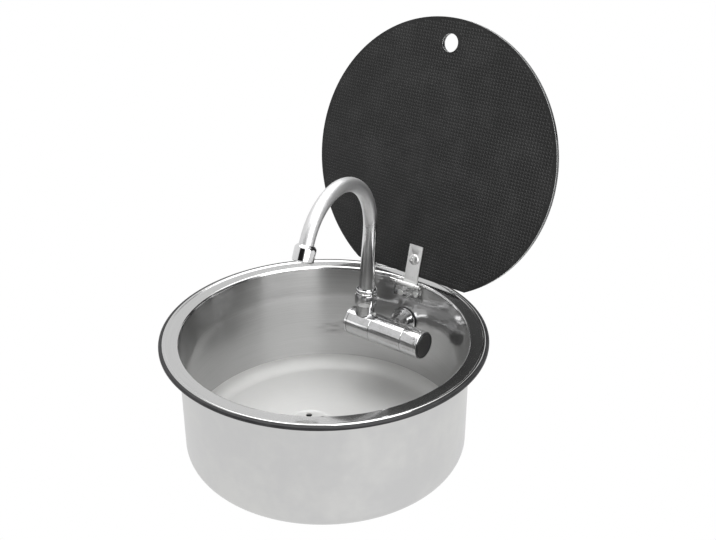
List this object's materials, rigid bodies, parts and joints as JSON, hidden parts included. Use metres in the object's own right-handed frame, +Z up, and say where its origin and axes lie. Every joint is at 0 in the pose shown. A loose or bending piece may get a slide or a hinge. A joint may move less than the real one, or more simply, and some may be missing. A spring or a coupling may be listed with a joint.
{
  "type": "drop-in sink with hinged lid and folding tap",
  "caption": "Round steel drop-in sink for a camper van, with a hinged glass lid and a cold tap whose spout folds down into the bowl.",
  "frame": {"origin": "on the bowl's axis, level with the underside of the rim seal, which is the top of the worktop", "axes": "+Z up along the bowl's axis, +Y from the centre of the bowl to the lid's hinge"},
  "size_m": [0.3306, 0.3875, 0.4728],
  "materials": {
    "drawn_steel": "satin",
    "satin_steel": "satin",
    "plated_brass": "polished",
    "bare_brass": "machined",
    "black_rubber": "matt",
    "black_plastic": "matt",
    "white_plastic": "matt",
    "clear_glass": "polished",
    "black_enamel": "printed"
  },
  "bodies": {
    "sink": {"bowl": "drawn_steel", "rim_seal": "black_rubber", "waste_strainer": "drawn_steel", "waste_seal": "black_rubber", "waste_cup": "black_plastic", "waste_insert": "bare_brass", "waste_screw": "satin_steel", "hinge_leaf": "satin_steel", "leaf_screws": "satin_steel", "leaf_washers": "satin_steel", "leaf_nuts": "satin_steel", "hinge_pin": "satin_steel", "tap_body": "plated_brass", "tee_seals": "black_rubber", "tee_end_cap": "plated_brass", "tap_flange": "plated_brass", "tap_wall_gasket": "black_rubber", "tap_back_gasket": "black_rubber", "tap_washer": "satin_steel", "tap_backnut": "bare_brass", "hose_tail": "bare_brass", "valve_cartridge": "bare_brass"},
    "lid": {"lid_glass": "clear_glass", "lid_backing": "black_enamel", "hinge_strap": "satin_steel", "strap_screw": "satin_steel", "strap_bush": "black_plastic", "strap_washer": "satin_steel", "strap_cap_nut": "satin_steel"},
    "tee_body": {"tee": "plated_brass", "stop_pin": "satin_steel", "union_nut": "plated_brass"},
    "spout": {"spout_tube": "plated_brass", "spout_seals": "black_rubber", "spout_foot_ring": "plated_brass", "aerator_shell": "plated_brass", "aerator_insert": "white_plastic"},
    "knob_body": {"knob": "plated_brass", "knob_screw": "satin_steel", "knob_cap": "black_plastic", "valve_spindle": "bare_brass"}
  },
  "joints": [
    {"name": "lid_hinge", "type": "hinge", "parent": "sink", "child": "lid", "pos_m": [0, 0.1405, -0.00045], "axis": [1, 0, 0], "range_deg": [0, 104.4]},
    {"name": "spout_fold", "type": "hinge", "parent": "sink", "child": "tee_body", "pos_m": [-0.03298, 0.10923, -0.0488], "axis": [0.9997, 0.0244, 0], "range_deg": [0, 94.62]},
    {"name": "spout_swivel", "type": "hinge", "parent": "tee_body", "child": "spout", "pos_m": [-0.03298, 0.10923, -0.0488], "axis": [-0.002, 0.0802, 0.9968], "range_deg": [0, 84.22]},
    {"name": "knob_turn", "type": "hinge", "parent": "sink", "child": "knob_body", "pos_m": [0.0353, 0.1109, -0.0488], "axis": [0.9997, 0.0244, 0], "range_deg": [0, 90]}
  ],
  "couplings": [
    {"joint": "spout_fold", "follows": "lid_hinge", "ratio": 0.90613},
    {"joint": "spout_swivel", "follows": "lid_hinge", "ratio": 0.80651}
  ]
}
